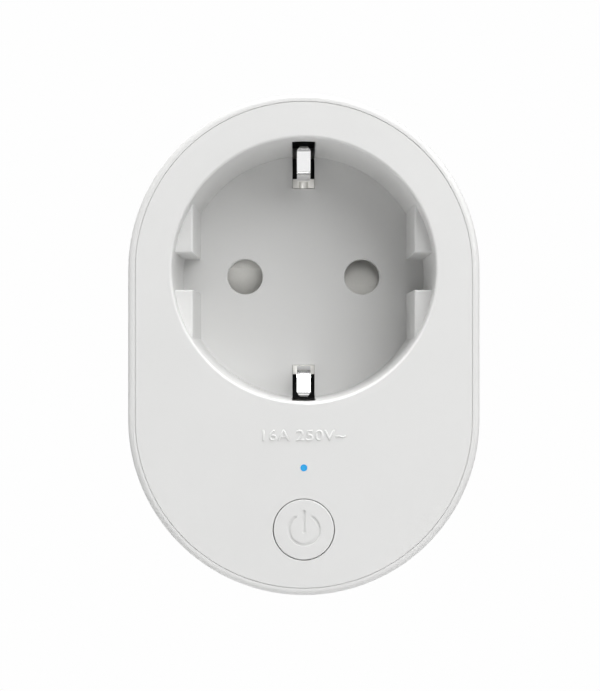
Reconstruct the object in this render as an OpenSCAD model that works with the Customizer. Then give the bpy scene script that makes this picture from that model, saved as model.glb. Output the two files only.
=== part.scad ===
// Smart plug: an earthed round-pin plug at the back, an earthed round socket at the front,
// and between them a relay that a button or a radio command switches.
// Millimetres. The origin is the centre of the plug's end face. +Y runs into the wall,
// +Z is up and the socket looks out along -Y.

/* [Casing] */
// Width of the casing
casing_w = 52; // [51.6:0.2:64]
// Distance between the centres of the casing's two end arcs
arc_gap = 22.1; // [20:0.1:28]
// Depth of the casing, from the wall plate to the front face
casing_d = 27.5; // [27.5:0.5:36]
// Thickness of the casing's walls
wall_t = 2; // [1.7:0.1:2.4]
// Width of the casing's rim round the front panel
rim_t = 1.11; // [0.9:0.01:1.3]
// Rounding of the rim's outer edge
front_edge_r = 0.8; // [0.3:0.1:0.9]
// Rounding of the casing's rear edge
rear_edge_r = 3; // [1:0.25:3.5]

/* [Front panel] */
// Thickness of the front panel
panel_t = 2; // [1.6:0.1:2.4]
// Depth of the skirt behind the panel's edge
skirt_d = 4; // [3:0.5:6]
// Wall of the socket well
well_wall = 1.6; // [1.3:0.05:1.7]
// Thickness of the well's floor
floor_t = 1.8; // [1.5:0.1:2]

/* [Socket] */
// Diameter of the well
well_d = 39; // [38.6:0.1:39.4]
// Depth of the well
well_depth = 17.5; // [17:0.1:18]
// Distance between the flats of the two key blocks
key_span = 33.3; // [32.9:0.1:33.8]
// Depth of the key blocks and of the earth slots below the front face
key_depth = 3.3; // [2.5:0.1:4.5]
// Width of the notch in each key block
key_notch_w = 5.6; // [5.3:0.1:6.6]
// Diameter of the pin entries
entry_d = 5.7; // [5.2:0.1:6]
// Width of the slots for the earth springs
slot_w = 3.6; // [3.2:0.1:4]

/* [Plug] */
// Length of the plug body
boss_l = 17.5; // [17:0.1:18]
// Diameter of the plug body
boss_d = 36.8; // [36.4:0.1:37]
// Width of the plug body across its flats
boss_flat_w = 32.8; // [32.4:0.1:33]
// Width of the guide ribs on the flats
boss_rib_w = 5.2; // [4.6:0.1:5.3]
// Wall of the plug body
boss_wall = 1.6; // [1.4:0.1:1.7]
// Thickness of the plug body's end wall
boss_end_t = 3; // [2.6:0.1:3.2]
// Distance between the two pins
pin_pitch = 19; // [19:0.1:19.2]
// Diameter of the pins
pin_d = 4.8; // [4:0.1:5]
// Length of the pins
pin_l = 19; // [18:0.5:19]
// Inner diameter of the earth receptacle
receptacle_d = 5; // [4.9:0.1:5.2]
// Height of the earth receptacle above the pins
receptacle_z = 10; // [9.9:0.1:10.2]
// Distance from the axis to the contact surface of the plug's earth strips
strip_r = 16; // [15.8:0.1:16.2]

/* [Earth springs] */
// Width of the spring tongues
tongue_w = 2.05; // [1.8:0.05:2.6]
// Thickness of the spring tongues
tongue_t = 0.6; // [0.5:0.05:0.7]
// Distance from the axis to the crest of the tongues
crest_r = 14.3; // [14.2:0.1:14.6]
// Depth of the crest below the front face
crest_depth = 7.6; // [7:0.1:9]

/* [Button and lamp] */
// Diameter of the button
button_d = 8.94; // [8:0.02:10.8]
// Gap round the button
button_gap = 0.12; // [0.1:0.01:0.2]
// Travel of the button
button_travel = 0.3; // [0.2:0.05:0.35]
// Distance from the casing's lower end to the button's centre
button_up = 9.8; // [9.5:0.1:12]
// Distance from the button's centre up to the lamp
lamp_up = 9.1; // [9:0.1:10.5]
// Diameter of the light pipe's front end
pipe_d = 1; // [0.8:0.1:1.6]
// Middle radius of the power symbol's ring
symbol_r = 2.23; // [1.8:0.01:2.4]
// Width of the symbol's grooves
symbol_w = 0.46; // [0.35:0.01:0.6]
// Depth of the symbol's grooves
symbol_depth = 0.15; // [0.1:0.05:0.4]

/* [Boards] */
// Thickness of the power board
board_t = 1.6; // [1.2:0.1:1.9]
// Thickness of the control board
ctrl_t = 1; // [0.8:0.1:1.2]
// Height of the relay over the power board
relay_h = 15.3; // [12.8:0.1:15.6]
// Length of the relay
relay_l = 18.4; // [17.6:0.1:18.4]
// Width of the relay
relay_w = 10.2; // [9.8:0.1:10.4]

/* [Hidden] */
$fn = 64;
e = 0.01;
fit = 0.1;                              // clearance between parts that locate each other
R = casing_w / 2;
z_low = -arc_gap;                       // height of the lower arc's centre
z_end = z_low - R;
y_wall = -boss_l;
y_face = y_wall - casing_d;
y_panel = y_face + panel_t;             // back of the front panel
y_floor = y_face + well_depth;          // front of the well's floor
y_floor_back = y_floor + floor_t;
y_rear = y_wall - wall_t;               // inner side of the casing's rear wall
y_key = y_face + key_depth;
hollow_r = R - wall_t;
panel_r = R - rim_t - fit;
panel_foot_r = R - rim_t - 0.02;        // the panel fills the rim behind the seam
seam_depth = 0.12;                      // depth of the seam round the panel
well_r = well_d / 2;
well_out_r = well_r + well_wall;
x_pin = pin_pitch / 2;
entry_r = entry_d / 2;
pin_r = pin_d / 2;
pin_neck_r = pin_r - 0.4;               // where the pin passes through the end wall
pin_gap = 0.02;                         // between the end face and the pin's shoulder
pin_relief = 0.3;                       // depth of the ring moulded round each pin
pin_collar_r = 3.6;
pin_collar_t = 1.2;
rivet_neck_r = 1.5;
rivet_r = 2.7;
rim_fillet = 0.4;
block_fillet = 0.3;
entry_fillet = 0.2;

// plug body
boss_r = boss_d / 2;
boss_hole_r = boss_r + fit;
flange_r = boss_r + 3.1;
flange_t = 2;
y_flange = y_rear - flange_t;
boss_end_fillet = 0.8;
cup_r = boss_r - boss_wall;
cup_x = boss_flat_w / 2 - boss_wall;
y_cup = -boss_end_t;
y_collar = y_cup - pin_collar_t;
groove_w = 7;
groove_l = 14.5;
strip_w = 4.4;
strip_t = 0.8;
strip_in_r = strip_r - strip_t;
groove_floor_r = strip_in_r - 0.05;
groove_wall = 1.15;
strip_hook = 2.4;

// contacts: the sleeves take the pins of the plug that is put in, down to y_mate
y_mate = y_floor + pin_l;
sleeve_in_r = pin_r + 0.02;
sleeve_wall = 0.65;
sleeve_r = sleeve_in_r + sleeve_wall;
plate_half = sleeve_r - 0.87;           // half width and top edge of the plate under a sleeve
plate_top = sleeve_r - 0.67;
strap_t = 0.8;
y_sleeve_base = y_mate + 0.1;           // front of the strap under each sleeve
y_strap_base = y_sleeve_base + 0.6;

// shutter chamber and contact carrier
y_deck = y_floor_back + 2.9;
deck_t = 1.2;
y_deck_back = y_deck + deck_t;
chamber_r = 13.5;
deck_r = 14.3;
hub_r = 2.6;
hub_out_r = 5.2;
leaf_r = 13.2;
leaf_half = 19.5;
shutter_t = 2.6;
y_shutter = y_floor_back + 0.2;
leaf_ramp_angle = 20;
block_x = cup_x - 0.5;
block_z = 6.5;
pocket_r = sleeve_r + 0.45;
y_pocket = y_strap_base + 0.2;
y_block = y_pocket + 1.2;
wing_x = 18.9;
wing_z = 6.5;
wing_r = 2.3;
y_wing = y_floor_back + 3;
tower_in_r = 21.9;
tower_wall = 0.7;
tower_out_r = tower_in_r + tower_wall;
tower_half = slot_w / 2 + 1.1;
tower_sill = 19.95;                     // beyond it the tower is open at the back
y_tower = y_key - 0.3;

// earth springs and bridge: each spring turns about its root at the outer edge of its foot
root_r = 16.3;
y_root = y_floor;
knuckle_r = 0.4;
foot_t = 0.8;
bead_r = 1;                             // hollow bead stamped into the foot
riser_in = strip_in_r - 0.05 - strip_t; // inner face of the bridge's risers
y_riser_end = y_rear + 2.5;
y_cross = y_rear - 0.4;

// A spring's middle line lies in the plane of z and y. Its leg rises from the root and meets the
// round crest at a tangent. The ramp runs on from there to the shoulder, where the tip folds back.
crest_bend_r = 3.4;
shoulder_bend_r = 0.4;
ramp_face = 65;                         // between the ramp and the direction of the pins
tip_angle = 30;                         // between the tip and the plane of the front face
ramp_l = 1.75;
tip_l = 0.4;
crest_centre = [crest_r + tongue_t / 2 + crest_bend_r, y_face + crest_depth + 0.4];
tongue_root = [root_r, y_root];
root_to_centre = crest_centre - tongue_root;
leg_angle = atan2(root_to_centre[1], root_to_centre[0])
    - asin(crest_bend_r / norm(root_to_centre));
leg_l = sqrt(pow(norm(root_to_centre), 2) - pow(crest_bend_r, 2));
ramp_angle = ramp_face - 90;
ramp_start = crest_centre - crest_bend_r * [cos(ramp_face), sin(ramp_face)];
ramp_end = ramp_start + ramp_l * [cos(ramp_angle), sin(ramp_angle)];
shoulder_centre = ramp_end + shoulder_bend_r * [-sin(ramp_angle), cos(ramp_angle)];
tip_start = shoulder_centre + shoulder_bend_r * [sin(tip_angle), -cos(tip_angle)];

// boards
y_board_back = y_rear - 3.1;
y_board = y_board_back - board_t;
board_top = -(tower_out_r + 0.3);
board_r = hollow_r - 0.6;
y_ctrl = y_panel + 4;
y_ctrl_back = y_ctrl + ctrl_t;
z_button = z_end + button_up;
z_lamp = z_button + lamp_up;
header_z = z_button + 3.9;              // row of pins between the two boards
header_x0 = 1.4;
header_pitch = 2;
header_pin_r = 0.32;
cap_z = header_z - 5.2;                 // row of tall parts below the header
wifi_x = hollow_r - 7.8;
wifi_t = 0.8;
wifi_l = 15.4;

// screws: two hold the casing, four hold the carrier
screw_r = hollow_r - 3.14;
screw_angle = 49.7;
screw_x = screw_r * cos(screw_angle);
screw_z = z_low - screw_r * sin(screw_angle);
screw_shank_r = 1.25;
tower_r = 3.4;
pillar_r = 2.6;
head_r = 2.3;
head_t = 1.5;
bore_r = head_r + 0.3;
y_seat = y_wall - 3.3;
carrier_shank_r = 1.05;
carrier_head_r = 2;
carrier_head_t = 0.9;

// button
button_r = button_d / 2;
button_hole_r = button_r + button_gap;
button_t = 2;
button_lip_r = button_r + 0.85;
lip_t = 0.8;
collar_r = button_lip_r + 0.15;
collar_wall = 0.85;
y_lip = y_panel + 0.05;
y_stem = y_lip + lip_t;
pipe_r = pipe_d / 2;
pipe_body_r = pipe_r + 0.75;

// push switch and lamp on the control board
switch_w = 4.5;
switch_h = 1.9;
plunger_r = 1;
lamp_h = 0.7;

// relay
relay_x0 = -relay_l - 1.5;
relay_z1 = board_top - 0.3;
relay_wall = 0.6;
relay_base_t = 1.5;
relay_gap = 0.15;
coil_x = relay_x0 + 11;
coil_z = relay_z1 - relay_w / 2;
y_relay_base = y_board - relay_gap - relay_base_t;
y_relay_top = y_board - relay_h;
y_pole = y_relay_top + 2.4;             // top of the core and of the yoke
y_yoke = y_relay_base - 1;              // foot of the yoke, under the coil
yoke_x = coil_x + 5;                    // middle of the yoke's leg
ridge_r = 0.45;                         // rounded edge that the armature rocks on
y_armature = y_pole - ridge_r - 0.1;    // underside of the armature
live_x = -x_pin;
busbar_w = 3.4;
run_x = x_pin + busbar_w / 2;
run_z = 0.1 - sqrt(cup_r * cup_r - run_x * run_x);  // underside of the busbars' run
y_run = y_board_back + 0.1;
bus_end_z = -27;
switched_x = live_x + 4.7;
switched_w = 2.6;

// ---- helpers: outlines are drawn as seen from the front, x to the right and z upward ----

// An outline raised from y_back forward to y_front
module plate(y_front, y_back) {
    translate([0, y_back, 0]) rotate([90, 0, 0]) linear_extrude(y_back - y_front) children();
}

// A round bar along Y
module rod(r, y_front, y_back, x = 0, z = 0) {
    translate([x, y_back, z]) rotate([90, 0, 0]) cylinder(r = r, h = y_back - y_front);
}

// A form turned about Y from a profile of [radius, distance forward of y_back]
module turned(y_back, x = 0, z = 0) {
    translate([x, y_back, z]) rotate([90, 0, 0]) rotate_extrude() children();
}

// A box between two corners
module box(low, high) {
    translate(low) cube(high - low);
}

// Both sides of the middle plane
module both_x() {
    children();
    mirror([1, 0, 0]) children();
}

// Top and bottom of the socket
module both_z() {
    children();
    mirror([0, 0, 1]) children();
}

module ring(r_out, r_in) {
    difference() {
        circle(r_out);
        circle(r_in);
    }
}

// The casing's outline
module stadium(r) {
    circle(r, $fn = 96);
    translate([0, z_low]) circle(r, $fn = 96);
    translate([-r, z_low]) square([2 * r, arc_gap]);
}

// A stadium-shaped solid with the half profile of its children all the way round
module stadium_turn(y_back) {
    translate([0, y_back, 0]) rotate([90, 0, 0]) {
        rotate_extrude(angle = 180, $fn = 96) children();
        translate([0, z_low, 0]) rotate([0, 0, 180]) rotate_extrude(angle = 180, $fn = 96) children();
        rotate([90, 0, 0]) linear_extrude(arc_gap) {
            children();
            mirror([1, 0, 0]) children();
        }
    }
}

// Half profile of the casing: rounded at the rear edge and at the front edge
module casing_profile() {
    difference() {
        square([R, casing_d]);
        translate([R - rear_edge_r, rear_edge_r]) corner_cut(rear_edge_r, -1);
        translate([R - front_edge_r, casing_d - front_edge_r]) corner_cut(front_edge_r, 1);
    }
}

// What rounding takes off a square corner, on the +x side, below (-1) or above (1)
module corner_cut(r, side) {
    difference() {
        translate([0, side > 0 ? 0 : -r - 1]) square([r + 1, r + 1]);
        circle(r);
    }
}

// Material that rounds off a straight edge along Z, for cutting
module edge_bit(r, length) {
    translate([0, 0, -length / 2]) linear_extrude(length) difference() {
        translate([-r - e, -r - e]) square([r + e, r + e]);
        circle(r, $fn = 32);
    }
}

// ---- casing ----

module screw_places() {
    both_x() translate([screw_x, 0, screw_z]) children();
}

// Latch places on the straight sides
module latch_places() {
    both_x() for (z = [-0.25 * arc_gap, -0.75 * arc_gap]) translate([0, 0, z]) children();
}

module outer_casing() {
    color("white") difference() {
        union() {
            difference() {
                stadium_turn(y_wall) casing_profile();
                plate(y_panel - e, y_rear) stadium(hollow_r);
                plate(y_face - 1, y_panel) stadium(R - rim_t);
            }
            screw_places() rod(tower_r, y_board_back, y_rear + e);
        }
        rod(boss_hole_r, y_rear - 1, y_wall + 1);
        screw_places() rod(bore_r, y_seat, y_wall + 1);
        screw_places() rod(screw_shank_r + 0.2, y_board_back - 1, y_wall);
        latch_places() box([hollow_r - e, y_panel + skirt_d - 2, -3.2],
            [hollow_r + 0.5, y_panel + skirt_d - 0.8, 3.2]);
    }
}

// ---- front panel with the socket well ----

// One of the two blocks that stand in the well's sides, with its notch and rounded edges
module key_block() {
    x = key_span / 2;
    z = key_notch_w / 2;
    difference() {
        box([x, y_key, -well_r], [well_r + 1, y_floor + 1, well_r]);
        box([x - 1, y_key - 1, -z], [well_r + 2, y_floor + 2, z]);
        translate([x + block_fillet, y_key + block_fillet, 0]) edge_bit(block_fillet, 2 * well_r + 2);
        both_z() translate([well_r, y_key + block_fillet, z + block_fillet]) rotate([90, 0, 90])
            edge_bit(block_fillet, 8);
    }
}

// The hollow of the well: a round hollow with a rounded mouth, and the key blocks left standing
module well_void() {
    difference() {
        turned(y_floor) difference() {
            square([well_r + rim_fillet, well_depth + 1]);
            translate([well_r, -1]) square([1, well_depth + 1 - rim_fillet]);
            translate([well_r + rim_fillet, well_depth - rim_fillet]) circle(rim_fillet, $fn = 32);
        }
        both_x() key_block();
    }
}

// The slot of one earth spring, through the well's wall and floor
module earth_slot() {
    box([-slot_w / 2, y_key, crest_r], [slot_w / 2, y_floor_back + 1, well_out_r + 1]);
}

module entry_void() {
    both_x() {
        rod(entry_r, y_floor - 1, y_floor_back + 1, x_pin);
        turned(y_floor + entry_fillet, x_pin) difference() {
            square([entry_r + entry_fillet, entry_fillet + 0.5]);
            translate([entry_r + entry_fillet, 0]) circle(entry_fillet, $fn = 32);
        }
    }
}

module panel_bodies() {
    plate(y_face, y_panel) stadium(panel_r);
    plate(y_face + seam_depth, y_panel) stadium(panel_foot_r);
    rod(well_out_r, y_face + 1, y_floor_back);
    plate(y_panel - e, y_panel + skirt_d) difference() {
        stadium(hollow_r - fit);
        stadium(hollow_r - fit - 0.9);
        square([2 * tower_half + 2, 4 * R], center = true);
    }
    latch_places() box([hollow_r - fit - 0.5, y_panel + skirt_d - 1.9, -3],
        [hollow_r + 0.35, y_panel + skirt_d - 1.1, 3]);
    screw_places() rod(pillar_r, y_panel - e, y_board);
    rod(collar_r + collar_wall, y_panel - e, y_ctrl - 1.6, 0, z_button);
    rod(pipe_body_r + 0.95, y_panel - e, y_ctrl - 1.2, 0, z_lamp);
    post_places() {
        rod(1.5, y_panel - e, y_ctrl);
        rod(0.7, y_ctrl - e, y_ctrl_back + 0.1);
        rod(1.2, y_ctrl_back, y_ctrl_back + 0.6);
    }
    rod(hub_r - 0.1, y_floor_back - e, y_shutter + shutter_t);
}

// Places of the two posts that carry the control board
module post_places() {
    translate([11.2, 0, z_lamp + 2.4]) children();
    translate([-8, 0, z_button - 2.2]) children();
}

module front_panel() {
    color("white") difference() {
        panel_bodies();
        well_void();
        entry_void();
        both_z() earth_slot();
        rod(button_hole_r, y_face - 1, y_panel + 1, 0, z_button);
        rod(collar_r, y_panel, y_ctrl, 0, z_button);
        rod(pipe_r + 0.03, y_face - 1, y_panel + 1, 0, z_lamp);
        rod(pipe_body_r + 0.05, y_panel, y_ctrl, 0, z_lamp);
        screw_places() rod(screw_shank_r + 0.03, y_board - 9, y_board + 1);
        carrier_screw_places() rod(carrier_shank_r + 0.03, y_floor_back - 9, y_floor_back + 1);
    }
}

module carrier_screw_places() {
    both_x() both_z() translate([wing_x, 0, wing_z]) children();
}

// ---- plug body ----

// Outline of the plug body: a round with two flats, and a guide rib on each flat
module boss_outline() {
    intersection() {
        circle(boss_r);
        union() {
            square([boss_flat_w, boss_d], center = true);
            square([boss_d, boss_rib_w], center = true);
        }
    }
}

module plug_body() {
    color("whitesmoke") difference() {
        union() {
            intersection() {
                plate(y_flange, 0) boss_outline();
                turned(0) difference() {
                    square([boss_r, -y_flange]);
                    translate([boss_r - boss_end_fillet, boss_end_fillet])
                        corner_cut(boss_end_fillet, -1);
                }
            }
            rod(flange_r, y_flange, y_rear);
        }
        plate(y_flange - 1, y_cup) intersection() {
            circle(cup_r);
            square([2 * cup_x, 2 * cup_r], center = true);
            difference() {
                square([2 * cup_x, 2 * cup_r], center = true);
                for (side = [-1, 1]) translate([-groove_w / 2 - groove_wall,
                    side > 0 ? groove_floor_r - groove_wall : -cup_r - 1])
                    square([groove_w + 2 * groove_wall, cup_r + 1 - groove_floor_r + groove_wall]);
            }
        }
        plate(y_flange - 1, -groove_l - groove_wall) intersection() {
            circle(cup_r);
            square([groove_w + 2 * groove_wall + e, 2 * cup_r], center = true);
        }
        both_z() {
            box([-groove_w / 2, -groove_l, groove_floor_r], [groove_w / 2, 1, boss_r + 1]);
            box([-strip_w / 2 - fit, -groove_l - groove_wall - 1, groove_floor_r],
                [strip_w / 2 + fit, -groove_l + 1, strip_r + fit]);
            box([-strip_w / 2 - fit, -0.4 - strip_t - fit, strip_r - strip_hook - fit],
                [strip_w / 2 + fit, 1, strip_r]);
        }
        both_x() rod(pin_neck_r + 0.05, y_cup - 1, 1, x_pin);
        both_x() rod(pin_r + 0.05, -pin_relief, 1, x_pin);
        rod(receptacle_d / 2 + 0.1, y_cup - 1, 1, 0, receptacle_z);
        rod(receptacle_d / 2 + 0.8, y_cup - 1, -0.9, 0, receptacle_z);
    }
}

// A solid pin with a domed tip, a collar behind the end wall and a riveted tail
module plug_pin(x) {
    rod(pin_r, pin_gap, pin_l - pin_r, x);
    translate([x, pin_l - pin_r, 0]) sphere(pin_r);
    rod(pin_neck_r, y_cup - e, pin_gap + e, x);
    rod(pin_collar_r, y_collar, y_cup, x);
    rod(rivet_neck_r, y_collar - strap_t - e, y_collar + e, x);
    rod(rivet_r, y_collar - strap_t - 0.8, y_collar - strap_t, x);
}

module live_pin() {
    color("gainsboro") plug_pin(-x_pin);
}

module neutral_pin() {
    color("gainsboro") plug_pin(x_pin);
}

// A strip along the plug body that hooks into its end face
module earth_strip() {
    box([-strip_w / 2, y_riser_end - 2.5, strip_in_r], [strip_w / 2, -0.4 - strip_t, strip_r]);
    box([-strip_w / 2, -0.4 - strip_t - e, strip_r - strip_hook], [strip_w / 2, -0.4, strip_r]);
}

module upper_earth_strip() {
    color("silver") earth_strip();
}

module lower_earth_strip() {
    color("silver") mirror([0, 0, 1]) earth_strip();
}

// Sleeve for the earth pin of a wall socket that has one
module earth_receptacle() {
    color("silver") difference() {
        union() {
            rod(receptacle_d / 2 + 0.7, -16, -1, 0, receptacle_z);
            rod(1.4, y_cross + strap_t, -15.9, 0, receptacle_z);
        }
        rod(receptacle_d / 2, -15, 0, 0, receptacle_z);
        box([-0.3, -12, 0], [0.3, 0, receptacle_z + receptacle_d]);
    }
}

// Yoke that joins the feet of both earth springs to both strips and to the receptacle. Each foot
// has a hollow bead stamped into its inner end.
module earth_bridge() {
    color("silver") {
        both_z() {
            box([-slot_w / 2 + 0.05, y_root, riser_in], [slot_w / 2 - 0.05, y_riser_end,
                riser_in + strap_t]);
            difference() {
                box([-slot_w / 2 + 0.05, y_root - foot_t / 2, riser_in],
                    [slot_w / 2 - 0.05, y_root + foot_t / 2, root_r - knuckle_r - 0.1]);
                translate([0, y_root - foot_t / 2 - 0.6 * bead_r, riser_in - 1])
                    cylinder(r = bead_r, h = 2);
            }
        }
        box([-slot_w / 2 + 0.05, y_cross, -riser_in - e], [slot_w / 2 - 0.05, y_cross + strap_t,
            riser_in + e]);
    }
}

// ---- earth springs ----

// A flat stretch of strip from a point in the direction of an angle
module strip_run(start, angle, length) {
    translate(start) rotate(angle) translate([0, -tongue_t / 2]) square([length, tongue_t]);
}

// A bent stretch of strip between two angles about a centre
module strip_bend(centre, r, from, to) {
    far = 2 * r;
    middle = (from + to) / 2;
    translate(centre) intersection() {
        ring(r + tongue_t / 2, r - tongue_t / 2);
        polygon([[0, 0], far * [cos(from), sin(from)], far * [cos(middle), sin(middle)],
            far * [cos(to), sin(to)]]);
    }
}

module tongue_section() {
    over = 0.2;                         // angle by which a bend reaches into the flats it joins
    strip_run(tongue_root, leg_angle, leg_l);
    strip_bend(crest_centre, crest_bend_r, leg_angle + 270 - over, 180 + ramp_face + over);
    strip_run(ramp_start, ramp_angle, ramp_l);
    strip_bend(shoulder_centre, shoulder_bend_r, ramp_angle - 90 - over, tip_angle - 90 + over);
    strip_run(tip_start, tip_angle, tip_l);
}

module spring_tongue() {
    intersection() {
        rotate([0, -90, 0]) linear_extrude(tongue_w, center = true) tongue_section();
        plate(y_face, y_root + 1) tip_outline();
    }
    translate([0, y_root, root_r]) rotate([0, 90, 0]) cylinder(r = knuckle_r, h = tongue_w,
        center = true, $fn = 32);
}

// The tongue's outline from the front: it narrows to its tip
module tip_outline() {
    w = tongue_w / 2;
    z0 = ramp_end[0] + 0.1;
    z1 = tip_start[0] + tip_l;
    polygon([[-w, 0], [w, 0], [w, z0], [w * 0.82, z0 + 0.25], [w * 0.55, z1],
        [-w * 0.55, z1], [-w * 0.82, z0 + 0.25], [-w, z0]]);
}

module upper_earth_spring() {
    color("silver") spring_tongue();
}

module lower_earth_spring() {
    color("silver") mirror([0, 0, 1]) spring_tongue();
}

// ---- live and neutral contacts ----

// A slotted sleeve that grips a pin
module pin_sleeve(x) {
    difference() {
        rod(sleeve_r, y_deck + 0.2, y_sleeve_base, x);
        rod(sleeve_in_r, y_deck - 1, y_sleeve_base + 1, x);
        turned(y_deck + 1, x) polygon([[0, 0], [sleeve_in_r, 0], [sleeve_in_r + 0.5, 1], [0, 1]]);
        for (a = [0, 90]) translate([x, y_deck, 0]) rotate([0, a + 45, 0])
            box([-5, -1, -0.3], [5, 9, 0.3]);
    }
}

module live_contact() {
    color("gold") pin_sleeve(-x_pin);
}

module neutral_contact() {
    color("gold") pin_sleeve(x_pin);
}

// ---- shutter ----

// A leaf that covers one pin entry, with a ramp that an entering pin pushes aside
module shutter_leaf() {
    difference() {
        plate(y_shutter, y_shutter + shutter_t) intersection() {
            ring(leaf_r, hub_r + 0.5);
            polygon([[0, 0], 20 * [cos(leaf_half), -sin(leaf_half)],
                20 * [cos(leaf_half), sin(leaf_half)]]);
        }
        translate([hub_out_r + 0.6, y_shutter, -1.5]) rotate([-leaf_ramp_angle, 0, 0])
            box([0, -20, 0], [leaf_r, 0, 20]);
    }
}

module shutter() {
    color("white") {
        plate(y_shutter, y_shutter + shutter_t) ring(hub_out_r, hub_r);
        shutter_leaf();
        rotate([0, 180, 0]) shutter_leaf();
        plate(y_shutter + 1, y_shutter + shutter_t) translate([-0.9, hub_out_r - 0.3])
            square([1.8, 3.6]);
    }
}

// Leaf spring from the carrier's wall to the shutter's lug
module shutter_spring() {
    color("silver") plate(y_shutter + 1, y_shutter + shutter_t) translate([1.3, hub_out_r + 2.9])
        rotate(-8) {
            square([8.3, 0.25]);
        }
}

// ---- contact carrier ----

module carrier_bodies() {
    plate(y_deck, y_deck_back) circle(deck_r);
    plate(y_floor_back + 0.05, y_deck + e) ring(deck_r, chamber_r);
    plate(y_deck, y_block) square([2 * block_x, 2 * block_z], center = true);
    both_x() {
        plate(y_floor_back + 0.05, y_wing) translate([deck_r - 0.5, -wing_z - wing_r])
            square([wing_x - deck_r + wing_r + 0.4, 2 * wing_z + 2 * wing_r]);
    }
    both_z() {
        box([-tower_half, y_floor_back + 0.05, deck_r - 0.5], [tower_half, y_deck_back,
            tower_out_r]);
        plate(y_tower, y_deck_back) intersection() {
            ring(tower_out_r, well_out_r + 0.05);
            translate([-tower_half, 0]) square([2 * tower_half, 2 * tower_out_r]);
        }
    }
}

module contact_carrier() {
    color("#26282b") difference() {
        carrier_bodies();
        both_z() {
            plate(y_tower - 1, y_deck_back - 0.8) intersection() {
                circle(tower_in_r);
                translate([-slot_w / 2, crest_r - 0.5])
                    square([slot_w, 2 * tower_in_r]);
            }
            plate(y_tower - 1, y_deck_back + 1) intersection() {
                circle(tower_in_r);
                translate([-slot_w / 2, tower_sill]) square([slot_w, tower_in_r]);
            }
            box([-slot_w / 2, y_root, riser_in - fit], [slot_w / 2, y_deck_back + 1,
                riser_in + strap_t + fit]);
        }
        both_x() rod(pocket_r, y_deck - 1, y_pocket, x_pin);
        box([-slot_w / 2 - 0.1, y_cross - 0.3, -block_z - 1], [slot_w / 2 + 0.1, y_block + 1,
            block_z + 1]);
        box([live_x - plate_half - 0.3, y_sleeve_base - 0.2, -block_z - 1],
            [switched_x + switched_w / 2 + 0.3, y_pocket, -1.8]);
        box([x_pin - plate_half - 0.3, y_sleeve_base - 0.2, -block_z - 1],
            [x_pin + plate_half + 0.3, y_pocket, -2]);
        both_x() box([x_pin - busbar_w / 2 - 0.3, y_deck + 0.1, -deck_r - 1],
            [run_x + 0.3, y_deck_back + 1, run_z + strap_t + 0.3]);
        carrier_screw_places() rod(carrier_shank_r + 0.15, y_floor_back - 1, y_wing + 1);
    }
}

// ---- power board and its parts ----

module board_outline(r) {
    difference() {
        intersection() {
            stadium(r);
            translate([-R, z_end]) square([2 * R, board_top - z_end]);
        }
        for (side = [-1, 1]) translate([side * screw_x, screw_z]) children();
    }
}

module power_board() {
    color("#1f6b3a") plate(y_board, y_board_back) board_outline(board_r) circle(1.6);
}

module insulating_sheet() {
    color("#e9e3cf") plate(y_rear - 0.35, y_rear - 0.05)
        board_outline(R - rear_edge_r - 0.3) circle(tower_r + 0.25);
}

module relay_case() {
    color("#2f6fb0") difference() {
        box([relay_x0, y_relay_top, relay_z1 - relay_w], [relay_x0 + relay_l,
            y_board - relay_gap, relay_z1]);
        box([relay_x0 + relay_wall, y_relay_top + relay_wall, relay_z1 - relay_w + relay_wall],
            [relay_x0 + relay_l - relay_wall, y_board + 1, relay_z1 - relay_wall]);
    }
}

// Base plate with four terminals that pass through the board
module relay_base() {
    g = relay_wall + 0.05;
    color("#3b3f45") box([relay_x0 + g, y_relay_base, relay_z1 - relay_w + g],
        [relay_x0 + relay_l - g, y_board - relay_gap, relay_z1 - g]);
    color("silver") box([coil_x - 7.3, y_pole + 0.8, coil_z - 1], [coil_x - 5.7, y_relay_base + e,
        coil_z + 1]);
    color("silver") for (x = [live_x - 1, live_x + 5]) for (z = [relay_z1 - 2.4,
        relay_z1 - relay_w + 2]) box([x - 0.8, y_board - relay_gap - e, z - 0.3],
        [x + 0.8, y_board, z + 0.3]);
}

// Bobbin and winding
module relay_coil() {
    color("#b5651d") difference() {
        union() {
            rod(3.7, y_pole + 1.6, y_yoke - 0.8, coil_x, coil_z);
            rod(4.3, y_pole + 0.8, y_pole + 1.7, coil_x, coil_z);
            rod(4.3, y_yoke - 0.9, y_yoke - 0.05, coil_x, coil_z);
        }
        rod(1.6, y_pole - 1, y_relay_base + 1, coil_x, coil_z);
    }
}

// Core and L-shaped yoke, with a rounded ridge along the leg's end
module relay_yoke() {
    color("silver") {
        rod(1.5, y_pole, y_relay_base - 0.05, coil_x, coil_z);
        rod(2.6, y_pole, y_pole + 0.75, coil_x, coil_z);
        box([yoke_x - 0.5, y_pole, coil_z - 3], [yoke_x + 0.5, y_relay_base - 0.05, coil_z + 3]);
        box([coil_x - 1.5, y_yoke, coil_z - 3], [yoke_x, y_relay_base - 0.05, coil_z + 3]);
        translate([yoke_x, y_pole, coil_z - 2.8]) cylinder(r = ridge_r, h = 5.6);
    }
}

// Armature plate that rocks on the yoke's ridge, with the moving contact on its far end
module relay_armature() {
    color("silver") {
        box([coil_x - 7.6, y_armature - 0.8, coil_z - 2.6], [yoke_x + 0.4, y_armature, coil_z + 2.6]);
        rod(1, y_armature - e, y_pole + 0.1, coil_x - 6.5, coil_z);
    }
}

// Disc on two leads
module varistor() {
    x = -5.4;
    z = relay_z1 - relay_w - 2.5;
    color("#3f7fb5") translate([x, y_board - 6.2, z]) cylinder(r = 4.6, h = 3.6, center = true);
    color("silver") for (side = [-1, 1]) rod(0.35, y_board - 2.4, y_board - 0.02, x + 2 * side, z);
}

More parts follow.
